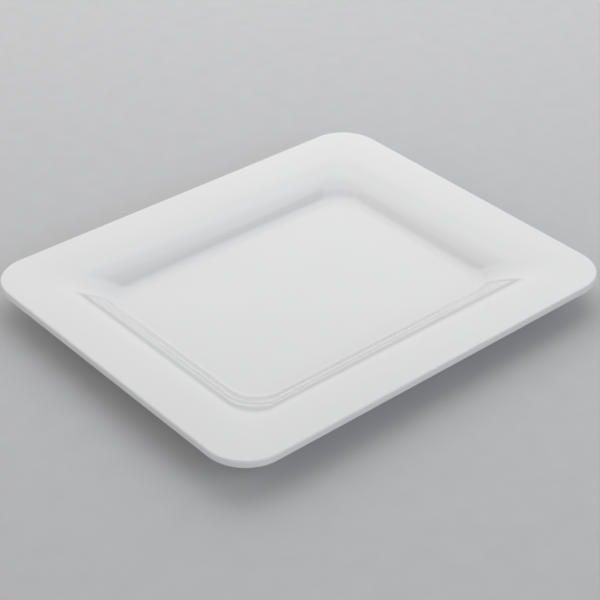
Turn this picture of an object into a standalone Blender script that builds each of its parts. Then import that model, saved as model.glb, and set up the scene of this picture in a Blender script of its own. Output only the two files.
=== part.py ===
"""Melamine buffet tray: a broad-rimmed moulded body, its food-side glaze and four non-slip foot pads.

Units are metres and +Z is up. The long side lies along X. The origin is in the middle of the footprint, on the
surface that the tray stands on.
"""
from math import cos, pi, radians, sin

import bmesh
import bpy

# Outline seen from above
TRAY_LENGTH = 0.325
TRAY_WIDTH = 0.265
OUTER_CORNER_RADIUS = 0.0286
FLOOR_CORNER_RADIUS = 0.025
CORNER_TIGHTENING = 0.010

# Section through rim and wall, from the lip inwards
RIM_LAND_WIDTH = 0.008
RIM_FALL_WIDTH = 0.0207
RIM_FALL_ANGLE_DEG = 6.0
WALL_ANGLE_DEG = 42.0
WELL_DEPTH = 0.0152
FOOT_FILLET_RADIUS = 0.012
TRAY_THICKNESS = 0.0051
LIP_TOP_RADIUS = 0.0012
LIP_BOTTOM_RADIUS = 0.0008

# Glaze over the food side, with the gap that parts it from the body
GLAZE_THICKNESS = 0.0004
GLAZE_GAP = 0.0003

# Foot ring moulded under the floor
RING_WIDTH = 0.005
RING_HEIGHT = 0.0015
RING_DRAFT = 0.0005

# Non-slip pads bonded into pockets inside the foot ring
PAD_RADIUS = 0.007
PAD_PROUD = 0.0006
PAD_EDGE_RADIUS = 0.0006
PAD_RING_DISTANCE = 0.006
POCKET_DEPTH = 0.0012
BOND_GAP = 0.0003

# Facets along each round stretch
CORNER_STEPS = 8
LIP_STEPS = 3
FALL_STEPS = 3
ROLL_STEPS = 8
FOOT_STEPS = 6
PAD_SIDES = 32
PAD_EDGE_STEPS = 3

# Heights above the surface that the tray stands on
BASE_HEIGHT = RING_HEIGHT + PAD_PROUD
RIM_HEIGHT = BASE_HEIGHT + TRAY_THICKNESS + WELL_DEPTH

FALL_ANGLE = radians(RIM_FALL_ANGLE_DEG)
WALL_ANGLE = radians(WALL_ANGLE_DEG)
FALL_RADIUS = RIM_FALL_WIDTH / sin(FALL_ANGLE)
FALL_DROP = FALL_RADIUS * (1 - cos(FALL_ANGLE))
FOOT_DROP = FOOT_FILLET_RADIUS * (1 - cos(WALL_ANGLE))
ROLL_DROP = WELL_DEPTH - FALL_DROP - FOOT_DROP
ROLL_RADIUS = ROLL_DROP / (cos(FALL_ANGLE) - cos(WALL_ANGLE))


def clear_scene():
    for item in list(bpy.data.objects):
        bpy.data.objects.remove(item, do_unlink=True)


def finish_material(name, colour, roughness):
    """Principled material of one even colour."""
    material = bpy.data.materials.new(name)
    material.use_nodes = True
    shader = material.node_tree.nodes["Principled BSDF"]
    shader.inputs["Base Color"].default_value = (*colour, 1.0)
    shader.inputs["Roughness"].default_value = roughness
    shader.inputs["Metallic"].default_value = 0.0
    return material


def add_object(name, mesh, material, parent):
    """Link a mesh into the scene as one named piece of the tray."""
    if not mesh.materials:
        mesh.materials.append(material)
    item = bpy.data.objects.new(name, mesh)
    item.parent = parent
    bpy.context.collection.objects.link(item)
    return item


def smooth(mesh, sharp_deg=30.0):
    mesh.shade_smooth()
    mesh.set_sharp_from_angle(angle=radians(sharp_deg))


def arc_points(start, radius, tilt_from, tilt_to, steps):
    """Points after start on an arc of the section whose tilt turns evenly, as (inset, depth, tilt)."""
    turn = 1 if tilt_to > tilt_from else -1
    points = []
    for step in range(1, steps + 1):
        tilt = tilt_from + (tilt_to - tilt_from) * step / steps
        inset = start[0] + turn * radius * (sin(tilt) - sin(tilt_from))
        depth = start[1] + turn * radius * (cos(tilt_from) - cos(tilt))
        points.append((inset, depth, tilt))
    return points


def lip_section():
    """Food side of the lip: the upright ground edge rolls over to the level rim."""
    edge = (0.0, LIP_TOP_RADIUS, -pi / 2)
    return [edge] + arc_points(edge, LIP_TOP_RADIUS, -pi / 2, 0.0, LIP_STEPS)


def rim_section():
    """Food side from the rim's level land, down the roll and the wall, to the edge of the floor."""
    points = [(RIM_LAND_WIDTH, 0.0, 0.0)]
    points += arc_points(points[-1], FALL_RADIUS, 0.0, FALL_ANGLE, FALL_STEPS)
    points += arc_points(points[-1], ROLL_RADIUS, FALL_ANGLE, WALL_ANGLE, ROLL_STEPS)
    points += arc_points(points[-1], FOOT_FILLET_RADIUS, WALL_ANGLE, 0.0, FOOT_STEPS)
    return points


FLOOR_INSET = rim_section()[-1][0]
RING_INNER_INSET = FLOOR_INSET + RING_WIDTH + 2 * RING_DRAFT


def below(points, distance):
    """Section points moved square to the surface, into the material, as (inset, depth)."""
    return [(inset - distance * sin(tilt), depth + distance * cos(tilt)) for inset, depth, tilt in points]


def corner_radius(inset):
    """Corner radius of the loop at an inset: tightest halfway from outline to floor, and parallel on the floor."""
    if inset > FLOOR_INSET:
        return FLOOR_CORNER_RADIUS - (inset - FLOOR_INSET)
    share = inset / FLOOR_INSET
    even_radius = OUTER_CORNER_RADIUS + (FLOOR_CORNER_RADIUS - OUTER_CORNER_RADIUS) * share
    return even_radius - CORNER_TIGHTENING * 4 * share * (1 - share)


def rounded_loop(inset, depth):
    """Points round the tray at one inset from the outline and one depth below the rim."""
    radius = corner_radius(inset)
    centre_x = TRAY_LENGTH / 2 - inset - radius
    centre_y = TRAY_WIDTH / 2 - inset - radius
    points = []
    for quarter, (side_x, side_y) in enumerate(((1, 1), (-1, 1), (-1, -1), (1, -1))):
        for step in range(CORNER_STEPS + 1):
            angle = pi / 2 * (quarter + step / CORNER_STEPS)
            x = side_x * centre_x + radius * cos(angle)
            y = side_y * centre_y + radius * sin(angle)
            points.append((x, y, RIM_HEIGHT - depth))
    return points


def lofted_mesh(name, stations):
    """One closed shell through a chain of rounded loops, with a flat cap on its first and last loop."""
    shape = bmesh.new()
    loops = [[shape.verts.new(point) for point in rounded_loop(*station)] for station in stations]
    for loop, next_loop in zip(loops, loops[1:]):
        for index, vert in enumerate(loop):
            following = (index + 1) % len(loop)
            shape.faces.new((vert, loop[following], next_loop[following], next_loop[index]))
    shape.faces.new(loops[0])
    shape.faces.new(loops[-1])
    bmesh.ops.recalc_face_normals(shape, faces=shape.faces)
    mesh = bpy.data.meshes.new(name)
    shape.to_mesh(mesh)
    shape.free()
    smooth(mesh)
    return mesh


def glaze_mesh():
    """Thin skin over floor, wall, rim and the upper edge of the lip."""
    section = lip_section() + rim_section()
    upper = below(section, 0.0)
    lower = below(section, GLAZE_THICKNESS)
    return lofted_mesh("glaze_overlay", upper[::-1] + lower)


def body_mesh():
    """Moulded body: rebated under the glaze, flush with it at the lip, with a foot ring under the floor."""
    seat = GLAZE_THICKNESS + GLAZE_GAP
    upper = below(lip_section() + rim_section(), seat)
    shoulder_depth = LIP_TOP_RADIUS + GLAZE_GAP
    shoulder = [(seat, shoulder_depth), (0.0, shoulder_depth)]
    lip_start = (0.0, TRAY_THICKNESS - LIP_BOTTOM_RADIUS)
    lip = [lip_start]
    for step in range(1, LIP_STEPS + 1):
        angle = pi / 2 * step / LIP_STEPS
        inset = LIP_BOTTOM_RADIUS * (1 - cos(angle))
        lip.append((inset, lip_start[1] + LIP_BOTTOM_RADIUS * sin(angle)))
    lower = below(rim_section(), TRAY_THICKNESS)
    base_depth = WELL_DEPTH + TRAY_THICKNESS
    ring = [
        (FLOOR_INSET + RING_DRAFT, base_depth + RING_HEIGHT),
        (FLOOR_INSET + RING_DRAFT + RING_WIDTH, base_depth + RING_HEIGHT),
        (RING_INNER_INSET, base_depth),
    ]
    return lofted_mesh("tray_body", upper[::-1] + shoulder + lip + lower + ring)


def disc_mesh(name, radius, low, high):
    """Upright round disc between two heights."""
    shape = bmesh.new()
    bmesh.ops.create_cone(
        shape, cap_ends=True, segments=PAD_SIDES, radius1=radius, radius2=radius, depth=high - low)
    bmesh.ops.translate(shape, verts=shape.verts, vec=(0.0, 0.0, (low + high) / 2))
    mesh = bpy.data.meshes.new(name)
    shape.to_mesh(mesh)
    shape.free()
    return mesh


def pad_mesh():
    """Non-slip pad that stands on the table, with a rounded lower edge."""
    mesh = disc_mesh("foot_pad", PAD_RADIUS, 0.0, BASE_HEIGHT + POCKET_DEPTH - BOND_GAP)
    shape = bmesh.new()
    shape.from_mesh(mesh)
    rim_edges = [edge for edge in shape.edges if max(vert.co.z for vert in edge.verts) < PAD_EDGE_RADIUS]
    bmesh.ops.bevel(
        shape, geom=rim_edges, offset=PAD_EDGE_RADIUS, segments=PAD_EDGE_STEPS, profile=0.5, affect="EDGES")
    shape.to_mesh(mesh)
    shape.free()
    smooth(mesh)
    return mesh


def cut_pocket(body, name, place, parent):
    """Round pocket in the underside of the body, where a pad is bonded in."""
    mesh = disc_mesh(name, PAD_RADIUS + BOND_GAP, BASE_HEIGHT - RING_HEIGHT, BASE_HEIGHT + POCKET_DEPTH)
    cutter = bpy.data.objects.new(name, mesh)
    cutter.parent = parent
    cutter.location = place
    cutter.hide_render = True
    cutter.display_type = "WIRE"
    bpy.context.collection.objects.link(cutter)
    cut = body.modifiers.new(name, "BOOLEAN")
    cut.operation = "DIFFERENCE"
    cut.solver = "EXACT"
    cut.object = cutter


def pad_places():
    """Name and place of each pad, in the corners inside the foot ring."""
    reach = RING_INNER_INSET + PAD_RING_DISTANCE + PAD_RADIUS
    x = TRAY_LENGTH / 2 - reach
    y = TRAY_WIDTH / 2 - reach
    return {
        "front_left": (-x, -y, 0.0),
        "front_right": (x, -y, 0.0),
        "rear_left": (-x, y, 0.0),
        "rear_right": (x, y, 0.0),
    }


def build_tray():
    melamine = finish_material("white_melamine", (0.80, 0.80, 0.81), 0.35)
    glaze = finish_material("white_glaze", (0.82, 0.82, 0.83), 0.18)
    silicone = finish_material("grey_silicone", (0.42, 0.43, 0.44), 0.60)

    tray = bpy.data.objects.new("buffet_tray", None)
    bpy.context.collection.objects.link(tray)
    body = add_object("tray_body", body_mesh(), melamine, tray)
    add_object("glaze_overlay", glaze_mesh(), glaze, tray)
    pad = pad_mesh()
    for corner, place in pad_places().items():
        cut_pocket(body, f"pocket_{corner}", place, tray)
        foot = add_object(f"foot_pad_{corner}", pad, silicone, tray)
        foot.location = place


clear_scene()
build_tray()
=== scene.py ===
"""Looks of the melamine buffet tray: fine meshes and finishes for its body, glaze and foot pads.

A plain floor, soft studio light and a camera at the photograph's viewing angle go with them.

Units are metres and +Z is up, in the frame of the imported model.
"""
from math import cos, pi, radians, sin

import bmesh
import bpy
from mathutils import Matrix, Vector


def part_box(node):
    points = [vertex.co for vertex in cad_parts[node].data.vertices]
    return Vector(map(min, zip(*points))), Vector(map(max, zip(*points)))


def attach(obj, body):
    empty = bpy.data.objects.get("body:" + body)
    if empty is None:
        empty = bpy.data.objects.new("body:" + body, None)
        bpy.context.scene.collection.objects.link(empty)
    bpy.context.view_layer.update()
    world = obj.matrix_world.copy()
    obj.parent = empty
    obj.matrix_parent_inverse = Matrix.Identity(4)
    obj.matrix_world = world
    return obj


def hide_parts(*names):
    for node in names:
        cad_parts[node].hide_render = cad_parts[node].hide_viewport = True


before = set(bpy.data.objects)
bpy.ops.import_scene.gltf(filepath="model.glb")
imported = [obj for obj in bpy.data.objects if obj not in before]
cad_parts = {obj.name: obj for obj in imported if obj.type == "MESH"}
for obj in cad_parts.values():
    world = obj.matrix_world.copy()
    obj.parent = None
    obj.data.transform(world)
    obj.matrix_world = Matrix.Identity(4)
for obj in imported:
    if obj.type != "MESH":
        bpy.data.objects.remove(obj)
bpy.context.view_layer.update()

# Outline and heights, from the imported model
TRAY_LOW, TRAY_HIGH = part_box("glaze_overlay")
TRAY_LENGTH = TRAY_HIGH.x - TRAY_LOW.x
TRAY_WIDTH = TRAY_HIGH.y - TRAY_LOW.y
RIM_HEIGHT = TRAY_HIGH.z
RING_FOOT_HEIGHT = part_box("tray_body")[0].z

# Corners seen from above
OUTER_CORNER_RADIUS = 0.0286
FLOOR_CORNER_RADIUS = 0.025
CORNER_TIGHTENING = 0.010

# Section through rim and wall, from the lip inwards
RIM_LAND_WIDTH = 0.008
RIM_FALL_WIDTH = 0.0207
RIM_FALL_ANGLE = radians(6.0)
WALL_ANGLE = radians(42.0)
WELL_DEPTH = 0.0152
FOOT_FILLET_RADIUS = 0.012
TRAY_THICKNESS = 0.0051
LIP_TOP_RADIUS = 0.0012
LIP_BOTTOM_RADIUS = 0.0008

# Glaze over the food side, with the fine seam that parts it from the body
GLAZE_THICKNESS = 0.0004
GLAZE_SEAM = 0.00005

# Foot ring, and the pads in their pockets
RING_WIDTH = 0.005
RING_DRAFT = 0.0005
RING_EDGE_RADIUS = 0.0005
POCKET_DEPTH = 0.0012
POCKET_GAP = 0.0003
PAD_EDGE_RADIUS = 0.0006

# Facets along each round stretch
CORNER_STEPS = 40
LIP_STEPS = 8
FALL_STEPS = 12
ROLL_STEPS = 30
FOOT_STEPS = 20
RING_STEPS = 4
PAD_SIDES = 96
PAD_EDGE_STEPS = 6

# Narrow band beside a round edge that keeps the flat face next to it shaded flat
HOLDING_WIDTH = 0.001

FALL_RADIUS = RIM_FALL_WIDTH / sin(RIM_FALL_ANGLE)
FALL_DROP = FALL_RADIUS * (1 - cos(RIM_FALL_ANGLE))
FOOT_DROP = FOOT_FILLET_RADIUS * (1 - cos(WALL_ANGLE))
ROLL_RADIUS = (WELL_DEPTH - FALL_DROP - FOOT_DROP) / (cos(RIM_FALL_ANGLE) - cos(WALL_ANGLE))

# Camera at the photograph's viewing angle
CAMERA_PLACE = (-0.6180, -0.6886, 0.6342)
CAMERA_TURN = (radians(55.586), radians(-0.995), radians(-41.195))
CAMERA_LENS = 100.36
CAMERA_SENSOR = 36.0
CAMERA_NEAR_CLIP = 0.01

# Finishes: the two colours that each one varies between, and the range of noise that spans them
GLAZE_COLOURS = ((0.817, 0.815, 0.813), (0.827, 0.825, 0.823))
MELAMINE_COLOURS = ((0.800, 0.800, 0.804), (0.838, 0.838, 0.842))
SILICONE_COLOURS = ((0.38, 0.39, 0.40), (0.46, 0.47, 0.48))
FLOOR_COLOURS = ((0.59, 0.59, 0.595), (0.61, 0.61, 0.615))
MELAMINE_IOR = 1.6
FLOOR_ROUGHNESS = 0.8
NOISE_LOW = 0.3
NOISE_HIGH = 0.7

FLOOR_SIZE = 16.0

# Arch of joined panels from behind the tray to overhead: name, elevation in degrees, size and brightness
ARCH_AZIMUTH_DEG = 138.0
ARCH_DISTANCE = 1.05
ARCH_PANELS = (
    ("arch_foot", 15.5, (1.8, 0.092), 0.80),
    ("arch_low", 26.5, (1.8, 0.314), 1.13),
    ("arch_middle", 42.5, (1.8, 0.28), 1.13),
    ("arch_high", 56.5, (1.6, 0.24), 1.45),
    ("arch_shoulder", 69.5, (1.5, 0.24), 1.07),
    ("arch_top", 83.0, (1.5, 0.26), 0.45),
)
WHITE = (1.0, 1.0, 1.0)
COOL_WHITE = (0.93, 0.98, 1.09)
WORLD_STRENGTH = 0.26


def arc_points(start, radius, tilt_from, tilt_to, steps):
    """Points after start on an arc of the section whose tilt turns evenly, as (inset, depth, tilt)."""
    turn = 1 if tilt_to > tilt_from else -1
    points = []
    for step in range(1, steps + 1):
        tilt = tilt_from + (tilt_to - tilt_from) * step / steps
        inset = start[0] + turn * radius * (sin(tilt) - sin(tilt_from))
        depth = start[1] + turn * radius * (cos(tilt_from) - cos(tilt))
        points.append((inset, depth, tilt))
    return points


def lip_section():
    """Food side of the lip: the upright ground edge rolls over to the level rim."""
    edge = (0.0, LIP_TOP_RADIUS, -pi / 2)
    return [edge] + arc_points(edge, LIP_TOP_RADIUS, -pi / 2, 0.0, LIP_STEPS)


def rim_section():
    """Food side from the rim's level land, down the roll and the wall, to the edge of the floor."""
    points = [(LIP_TOP_RADIUS + HOLDING_WIDTH, 0.0, 0.0), (RIM_LAND_WIDTH, 0.0, 0.0)]
    points += arc_points(points[-1], FALL_RADIUS, 0.0, RIM_FALL_ANGLE, FALL_STEPS)
    points += arc_points(points[-1], ROLL_RADIUS, RIM_FALL_ANGLE, WALL_ANGLE, ROLL_STEPS)
    points += arc_points(points[-1], FOOT_FILLET_RADIUS, WALL_ANGLE, 0.0, FOOT_STEPS)
    return points


FLOOR_INSET = rim_section()[-1][0]


def below(points, distance):
    """Section points moved square to the surface, into the material, as (inset, depth)."""
    return [
        (inset - distance * sin(tilt), depth + distance * cos(tilt))
        for inset, depth, tilt in points
    ]


def corner_radius(inset):
    """Corner radius of the loop at an inset: tightest about halfway in, and parallel on the floor."""
    if inset > FLOOR_INSET:
        return FLOOR_CORNER_RADIUS - (inset - FLOOR_INSET)
    share = inset / FLOOR_INSET
    even_radius = OUTER_CORNER_RADIUS + (FLOOR_CORNER_RADIUS - OUTER_CORNER_RADIUS) * share
    return even_radius - CORNER_TIGHTENING * 4 * share * (1 - share)


def rounded_loop(inset, depth):
    """Points round the tray at one inset from the outline and one depth below the rim."""
    radius = corner_radius(inset)
    centre_x = TRAY_LENGTH / 2 - inset - radius
    centre_y = TRAY_WIDTH / 2 - inset - radius
    points = []
    for quarter, (side_x, side_y) in enumerate(((1, 1), (-1, 1), (-1, -1), (1, -1))):
        for step in range(CORNER_STEPS + 1):
            angle = pi / 2 * (quarter + step / CORNER_STEPS)
            x = side_x * centre_x + radius * cos(angle)
            y = side_y * centre_y + radius * sin(angle)
            points.append((x, y, RIM_HEIGHT - depth))
    return points


def lofted_mesh(name, stations):
    """One closed shell through a chain of rounded loops, with a flat cap on its first and last loop."""
    shape = bmesh.new()
    loops = [[shape.verts.new(point) for point in rounded_loop(*station)] for station in stations]
    for loop, next_loop in zip(loops, loops[1:]):
        for index, vert in enumerate(loop):
            following = (index + 1) % len(loop)
            shape.faces.new((vert, loop[following], next_loop[following], next_loop[index]))
    shape.faces.new(loops[0])
    shape.faces.new(loops[-1])
    bmesh.ops.recalc_face_normals(shape, faces=shape.faces)
    mesh = bpy.data.meshes.new(name)
    shape.to_mesh(mesh)
    shape.free()
    return mesh


def smooth(mesh, sharp_deg=40.0):
    mesh.shade_smooth()
    mesh.set_sharp_from_angle(angle=radians(sharp_deg))


def add_piece(name, mesh, material, node):
    """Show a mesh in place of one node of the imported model."""
    mesh.materials.clear()
    mesh.materials.append(material)
    piece = bpy.data.objects.new(name, mesh)
    bpy.context.collection.objects.link(piece)
    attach(piece, "root")
    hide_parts(node)
    return piece


def glaze_mesh():
    """Thin skin over floor, wall, rim and the upper edge of the lip."""
    section = lip_section() + rim_section()
    floor_edge = section[-1]
    section.append((floor_edge[0] + HOLDING_WIDTH, floor_edge[1], 0.0))
    upper = below(section, 0.0)
    lower = below(section, GLAZE_THICKNESS)
    mesh = lofted_mesh("glaze_skin", upper[::-1] + lower)
    smooth(mesh)
    return mesh


def ring_section(base_depth):
    """Foot ring under the floor, with rounded edges, from its outer to its inner side."""
    foot_depth = RIM_HEIGHT - RING_FOOT_HEIGHT
    outer = FLOOR_INSET + RING_DRAFT
    inner = outer + RING_WIDTH
    points = [(FLOOR_INSET, base_depth)]
    for step in range(RING_STEPS + 1):
        angle = pi / 2 * step / RING_STEPS
        points.append((outer + RING_EDGE_RADIUS * (1 - cos(angle)),
                       foot_depth - RING_EDGE_RADIUS * (1 - sin(angle))))
    for step in range(RING_STEPS + 1):
        angle = pi / 2 * step / RING_STEPS
        points.append((inner - RING_EDGE_RADIUS * (1 - sin(angle)),
                       foot_depth - RING_EDGE_RADIUS * (1 - cos(angle))))
    points.append((inner + RING_DRAFT, base_depth))
    points.append((inner + RING_DRAFT + HOLDING_WIDTH, base_depth))
    return points


def body_section():
    """Whole section of the moulded body, from the floor's seat over the lip to the underside."""
    seat = GLAZE_THICKNESS + GLAZE_SEAM
    upper = below(lip_section() + rim_section(), seat)
    shoulder_depth = LIP_TOP_RADIUS + GLAZE_SEAM
    shoulder = [(seat, shoulder_depth), (0.0, shoulder_depth)]
    lip_start = (0.0, TRAY_THICKNESS - LIP_BOTTOM_RADIUS)
    lip = [lip_start]
    for step in range(1, LIP_STEPS + 1):
        angle = pi / 2 * step / LIP_STEPS
        inset = LIP_BOTTOM_RADIUS * (1 - cos(angle))
        lip.append((inset, lip_start[1] + LIP_BOTTOM_RADIUS * sin(angle)))
    lower = below(rim_section()[:-1], TRAY_THICKNESS)
    return upper[::-1] + shoulder + lip + lower + ring_section(WELL_DEPTH + TRAY_THICKNESS)


def disc_mesh(name, centre, radius, low, high):
    """Upright round disc between two heights."""
    shape = bmesh.new()
    bmesh.ops.create_cone(
        shape, cap_ends=True, segments=PAD_SIDES, radius1=radius, radius2=radius, depth=high - low)
    bmesh.ops.translate(shape, verts=shape.verts, vec=(centre[0], centre[1], (low + high) / 2))
    mesh = bpy.data.meshes.new(name)
    shape.to_mesh(mesh)
    shape.free()
    return mesh


def pad_nodes():
    return [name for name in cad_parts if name.startswith("foot_pad")]


def pad_place(node):
    """Middle of a pad on the floor plane, its radius and its top."""
    low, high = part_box(node)
    centre = (low + high) / 2
    return (centre.x, centre.y), (high.x - low.x) / 2, high.z


def body_mesh():
    """Moulded body with a round pocket for each pad in its underside."""
    body = bpy.data.objects.new("body_blank", lofted_mesh("body_blank", body_section()))
    bpy.context.collection.objects.link(body)
    base_height = RIM_HEIGHT - WELL_DEPTH - TRAY_THICKNESS
    cutters = []
    for node in pad_nodes():
        centre, radius, _ = pad_place(node)
        pocket_top = base_height + POCKET_DEPTH
        mesh = disc_mesh("pocket", centre, radius + POCKET_GAP, RING_FOOT_HEIGHT, pocket_top)
        cutter = bpy.data.objects.new("pocket", mesh)
        bpy.context.collection.objects.link(cutter)
        cut = body.modifiers.new("pocket", "BOOLEAN")
        cut.operation = "DIFFERENCE"
        cut.solver = "EXACT"
        cut.object = cutter
        cutters.append(cutter)
    shown = body.evaluated_get(bpy.context.evaluated_depsgraph_get())
    mesh = bpy.data.meshes.new_from_object(shown)
    mesh.name = "moulded_body"
    for item in cutters + [body]:
        bpy.data.objects.remove(item, do_unlink=True)
    smooth(mesh)
    return mesh


def pad_mesh(node):
    """Non-slip pad that stands on the table, with a rounded lower edge."""
    centre, radius, top = pad_place(node)
    mesh = disc_mesh(node + "_pad", centre, radius, 0.0, top)
    shape = bmesh.new()
    shape.from_mesh(mesh)
    rim_edges = [edge for edge in shape.edges if max(vert.co.z for vert in edge.verts) < PAD_EDGE_RADIUS]
    bmesh.ops.bevel(
        shape, geom=rim_edges, offset=PAD_EDGE_RADIUS, segments=PAD_EDGE_STEPS, profile=0.5,
        affect="EDGES")
    shape.to_mesh(mesh)
    shape.free()
    smooth(mesh)
    return mesh


def new_material(name):
    """Principled material with its node tree, its shader and the object's own coordinates."""
    material = bpy.data.materials.new(name)
    material.use_nodes = True
    tree = material.node_tree
    shader = tree.nodes["Principled BSDF"]
    place = tree.nodes.new("ShaderNodeTexCoord").outputs["Object"]
    return material, tree, shader, place


def noise(tree, place, scale, detail):
    node = tree.nodes.new("ShaderNodeTexNoise")
    node.inputs["Scale"].default_value = scale
    node.inputs["Detail"].default_value = detail
    tree.links.new(place, node.inputs["Vector"])
    return node.outputs["Fac"]


def spread(tree, value, low, high):
    """Map a noise value to a range."""
    node = tree.nodes.new("ShaderNodeMapRange")
    node.inputs["From Min"].default_value = NOISE_LOW
    node.inputs["From Max"].default_value = NOISE_HIGH
    node.inputs["To Min"].default_value = low
    node.inputs["To Max"].default_value = high
    tree.links.new(value, node.inputs["Value"])
    return node.outputs["Result"]


def blend_colours(tree, value, first, second):
    node = tree.nodes.new("ShaderNodeMix")
    node.data_type = "RGBA"
    node.inputs["A"].default_value = (*first, 1.0)
    node.inputs["B"].default_value = (*second, 1.0)
    tree.links.new(value, node.inputs["Factor"])
    return node.outputs["Result"]


def bump(tree, shader, height, distance):
    node = tree.nodes.new("ShaderNodeBump")
    node.inputs["Strength"].default_value = 1.0
    node.inputs["Distance"].default_value = distance
    tree.links.new(height, node.inputs["Height"])
    tree.links.new(node.outputs["Normal"], shader.inputs["Normal"])


def glaze_material():
    """White glaze: faint clouding, a fine orange peel and a slightly uneven gloss."""
    material, tree, shader, place = new_material("white_glaze")
    clouds = spread(tree, noise(tree, place, scale=18.0, detail=3.0), low=0.0, high=1.0)
    colour = blend_colours(tree, clouds, *GLAZE_COLOURS)
    tree.links.new(colour, shader.inputs["Base Color"])
    roughness = spread(tree, noise(tree, place, scale=240.0, detail=4.0), low=0.05, high=0.08)
    tree.links.new(roughness, shader.inputs["Roughness"])
    shader.inputs["IOR"].default_value = MELAMINE_IOR
    bump(tree, shader, noise(tree, place, scale=420.0, detail=2.0), distance=0.000006)
    return material


def melamine_material():
    """Satin moulded melamine: fine grains in the white, and a soft mould texture."""
    material, tree, shader, place = new_material("white_melamine")
    grains = spread(tree, noise(tree, place, scale=1500.0, detail=2.0), low=0.0, high=1.0)
    colour = blend_colours(tree, grains, *MELAMINE_COLOURS)
    tree.links.new(colour, shader.inputs["Base Color"])
    roughness = spread(tree, noise(tree, place, scale=300.0, detail=3.0), low=0.32, high=0.42)
    tree.links.new(roughness, shader.inputs["Roughness"])
    shader.inputs["IOR"].default_value = MELAMINE_IOR
    bump(tree, shader, noise(tree, place, scale=900.0, detail=3.0), distance=0.00001)
    return material


def silicone_material():
    """Matte grey silicone with a fine grain."""
    material, tree, shader, place = new_material("grey_silicone")
    grains = spread(tree, noise(tree, place, scale=2200.0, detail=2.0), low=0.0, high=1.0)
    colour = blend_colours(tree, grains, *SILICONE_COLOURS)
    tree.links.new(colour, shader.inputs["Base Color"])
    roughness = spread(tree, noise(tree, place, scale=700.0, detail=2.0), low=0.55, high=0.70)
    tree.links.new(roughness, shader.inputs["Roughness"])
    bump(tree, shader, noise(tree, place, scale=1800.0, detail=2.0), distance=0.00003)
    return material


def floor_material():
    """Matte pale grey, very slightly mottled."""
    material, tree, shader, place = new_material("pale_floor")
    grains = spread(tree, noise(tree, place, scale=60.0, detail=4.0), low=0.0, high=1.0)
    colour = blend_colours(tree, grains, *FLOOR_COLOURS)
    tree.links.new(colour, shader.inputs["Base Color"])
    shader.inputs["Roughness"].default_value = FLOOR_ROUGHNESS
    return material


def add_floor():
    shape = bmesh.new()
    bmesh.ops.create_grid(shape, x_segments=1, y_segments=1, size=FLOOR_SIZE / 2)
    mesh = bpy.data.meshes.new("floor")
    shape.to_mesh(mesh)
    shape.free()
    mesh.materials.append(floor_material())
    floor = bpy.data.objects.new("floor", mesh)
    bpy.context.collection.objects.link(floor)


def add_softbox(name, azimuth_deg, elevation_deg, distance, size, brightness, tint=WHITE):
    """Soft light that faces the tray. A brightness of 1 is as bright as a plain white.

    Azimuth 0 is on the -Y side and 90 on the +X side.
    """
    azimuth = radians(azimuth_deg)
    elevation = radians(elevation_deg)
    lamp = bpy.data.lights.new(name, "AREA")
    lamp.shape = "RECTANGLE"
    lamp.size, lamp.size_y = size
    lamp.energy = brightness * pi * size[0] * size[1]
    lamp.color = tint
    item = bpy.data.objects.new(name, lamp)
    item.location = (
        distance * sin(azimuth) * cos(elevation),
        -distance * cos(azimuth) * cos(elevation),
        distance * sin(elevation),
    )
    item.rotation_euler = (pi / 2 - elevation, 0.0, azimuth)
    bpy.context.collection.objects.link(item)


def add_lights():
    """The arch, dimmer at both ends, with fill lamps round the front and a dim even world."""
    for name, elevation_deg, size, brightness in ARCH_PANELS:
        add_softbox(name, ARCH_AZIMUTH_DEG, elevation_deg, ARCH_DISTANCE, size, brightness)
    add_softbox("front_right", 14.0, 32.0, 1.8, (1.4, 0.9), 1.55, COOL_WHITE)
    add_softbox("front_low", 325.0, 16.0, 1.8, (2.0, 0.9), 0.85)
    add_softbox("left", 238.0, 30.0, 1.7, (1.6, 1.4), 0.75)
    world = bpy.data.worlds.new("studio")
    world.use_nodes = True
    backdrop = world.node_tree.nodes["Background"]
    backdrop.inputs["Color"].default_value = (*WHITE, 1.0)
    backdrop.inputs["Strength"].default_value = WORLD_STRENGTH
    bpy.context.scene.world = world


def add_camera():
    data = bpy.data.cameras.new("camera")
    data.sensor_width = CAMERA_SENSOR
    data.lens = CAMERA_LENS
    data.clip_start = CAMERA_NEAR_CLIP
    camera = bpy.data.objects.new("camera", data)
    camera.location = CAMERA_PLACE
    camera.rotation_euler = CAMERA_TURN
    bpy.context.collection.objects.link(camera)
    bpy.context.scene.camera = camera


def dress_tray():
    add_piece("moulded_body", body_mesh(), melamine_material(), "tray_body")
    add_piece("glaze_skin", glaze_mesh(), glaze_material(), "glaze_overlay")
    silicone = silicone_material()
    for node in pad_nodes():
        add_piece(node + "_pad", pad_mesh(node), silicone, node)


dress_tray()
add_floor()
add_lights()
add_camera()
bpy.context.scene.view_settings.view_transform = "Standard"
